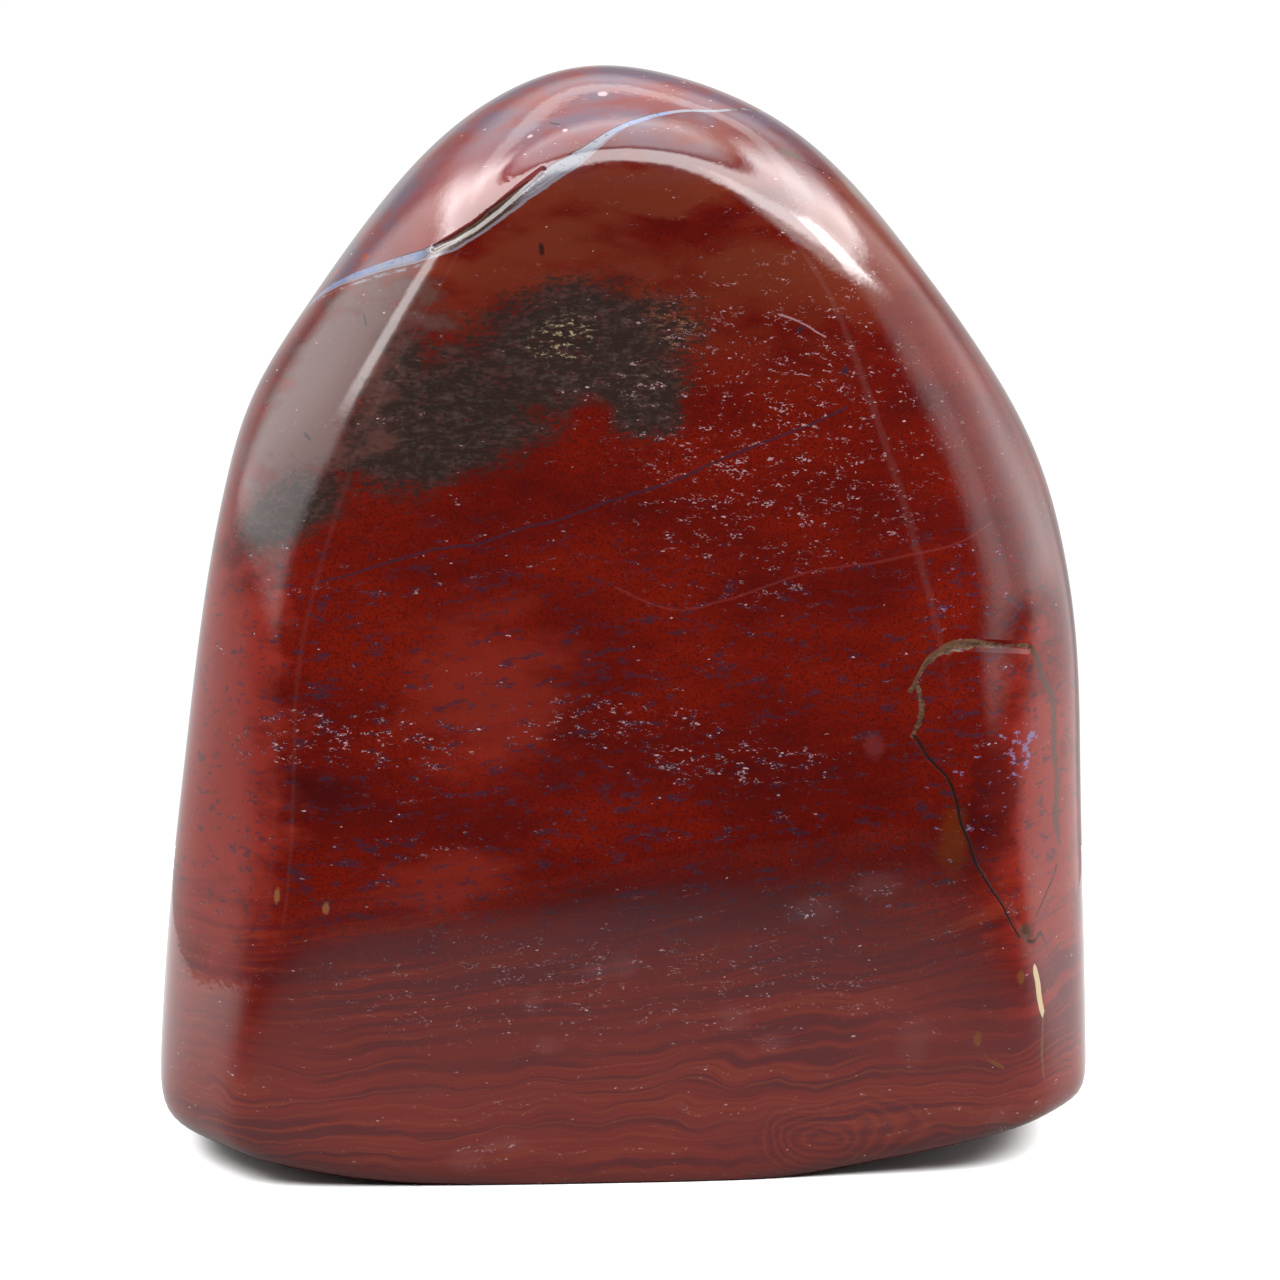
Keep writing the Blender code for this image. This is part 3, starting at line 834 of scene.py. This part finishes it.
# The healed vein: blue at the left, olive and dark grooves where it stands open, then grey-white,
# thin blue and a dark green thread over the top and round the back.
lower_part, upper_part, blue_part = parts(red, kept("vein_edges", "Vector"))
vein_off = calc(red, "SUBTRACT", calc(red, "ABSOLUTE", vein_away), vein_half)
in_vein = step(red, vein_off, -0.06, 0.10, 1.0, 0.0)
grooves = calc(red, "PINGPONG", calc(red, "MULTIPLY_ADD", layers, 0.6, vein_away), 0.22)
tan_edges = product(red, open_part, step(red, grooves, 0.04, 0.10, 0.6, 0.0))
lumpy = product(red, step(red, specky, 0.44, 0.58), calc(red, "SUBTRACT", 1.0, open_part), 0.7)
vein_colour = blend(red, lumpy, kept("vein_paint", "Color"), PAINTS["vein_grey"])
vein_colour = blend(red, tan_edges, vein_colour, PAINTS["tan"])
vein_colour = blend(red, step(red, hairs, 0.56, 0.66, 0.0, 0.5), vein_colour, PAINTS["crack_dark"])
body = blend(red, in_vein, body, vein_colour)
below, above_line = step(red, vein_away, 0.0, -0.1), step(red, vein_away, 0.0, 0.1)
lower_edge = product(red, band(red, vein_off, 0.18, 0.10, 0.08), below, lower_part, 0.75)
thread_below = product(red, band(red, vein_away, -1.15, 0.10, 0.14), step(red, specky, 0.42, 0.60), blue_part)
thread_below = calc(red, "MULTIPLY", thread_below, 0.8)
body = blend(red, calc(red, "MAXIMUM", lower_edge, thread_below), body, PAINTS["vein_grey"])
upper_edge = product(red, band(red, vein_off, 0.12, 0.05, 0.08), above_line, upper_part, 0.7)
body = blend(red, upper_edge, body, PAINTS["crack_dark"])

# Hairlines, a painted reflection edge along the right shoulder, and the fracture on the right: a tan
# crescent, a dark crack under it and an olive rim.
line_off, line_far, line_half = parts(red, kept("line_place", "Vector"))
line_off = calc(red, "ABSOLUTE", calc(red, "MULTIPLY_ADD", ragged, 0.3, line_off))
line_edge = calc(red, "MULTIPLY", line_half, calc(red, "MULTIPLY_ADD", specky, -3.0, 2.5))
line_off = calc(red, "SUBTRACT", calc(red, "ADD", line_off, line_far), line_edge)
line_colour = node(red, "ShaderNodeAttribute", attribute_name="line_paint")
unbroken = step(red, hairs, 0.26, 0.40)
share = product(red, step(red, line_off, 0.0, 0.10, 1.0, 0.0), unbroken, line_colour.outputs["Alpha"])
body = blend(red, share, body, line_colour.outputs["Color"])
uneven = calc(red, "MULTIPLY", ragged, 0.32)
frayed = calc(red, "MULTIPLY_ADD", specky, 1.3, -0.65)
arc_away, branch_away, crack_away = parts(red, kept("crack_away", "Vector"))
arc_past, branch_past, crack_past = parts(red, kept("crack_past", "Vector"))
plug_away, plug_past, _ = parts(red, kept("plug_away", "Vector"))
arc_uneven = calc(red, "ADD", arc_away, uneven)
arc_band = band(red, arc_uneven, 0.0, 0.36, 0.16, calc(red, "ADD", arc_past, frayed))
branch_past = calc(red, "MULTIPLY_ADD", frayed, 0.4, branch_past)
branch_band = band(red, calc(red, "ADD", branch_away, uneven), -0.1, 0.16, 0.12, branch_past)
fracture = calc(red, "MAXIMUM", arc_band, branch_band)
body = blend(red, fracture, body, blend(red, step(red, hairs, 0.40, 0.62), PAINTS["olive"], PAINTS["tan"]))
body = blend(red, product(red, band(red, arc_uneven, 0.40, 0.14, 0.12, arc_past), 0.7), body, PAINTS["tan"])
crack_band = band(red, calc(red, "MULTIPLY_ADD", ragged, 0.12, crack_away), 0.0, 0.10, 0.10, crack_past)
body = blend(red, crack_band, body, PAINTS["crack_dark"])
body = blend(red, band(red, plug_away, 0.0, 0.42, 0.10, plug_past), body, PAINTS["cream"])
mark_arrow = {0: kept("mark_place", "Vector")}
mark_out = node(red, "ShaderNodeVectorMath", mark_arrow, operation="LENGTH").outputs["Value"]
mark_out = calc(red, "ADD", mark_out, calc(red, "MULTIPLY_ADD", hairs, 1.2, -0.6))
body = blend(red, step(red, mark_out, 0.6, 1.3, 0.85, 0.0), body, kept("mark_paint", "Color"))

# Polish: glassy all over, a little duller on the vein and in the cracks, with a fine waviness.
POLISH_ROUGHNESS = 0.055
CRACK_ROUGHNESS = 0.22
JASPER_IOR = 1.54
FINE_WAVE_LENGTH_MM = 1.1
FINE_WAVE_HEIGHT_MM = 0.010
dull = calc(red, "MAXIMUM", calc(red, "MULTIPLY", in_vein, 0.5), calc(red, "MAXIMUM", fracture, crack_band))
red.links.new(body, shader.inputs["Base Color"])
red.links.new(step(red, dull, 0.0, 1.0, POLISH_ROUGHNESS, CRACK_ROUGHNESS), shader.inputs["Roughness"])
shader.inputs["IOR"].default_value = JASPER_IOR
relief = calc(red, "MULTIPLY", grain(red, place, FINE_WAVE_LENGTH_MM, 1.0), FINE_WAVE_HEIGHT_MM)
bump = node(red, "ShaderNodeBump", {"Height": relief, "Strength": 1.0, "Distance": MM})
red.links.new(bump.outputs[0], shader.inputs["Normal"])
stone_mesh.materials.append(jasper)

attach(stone, "root")
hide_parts("jasper_stone")
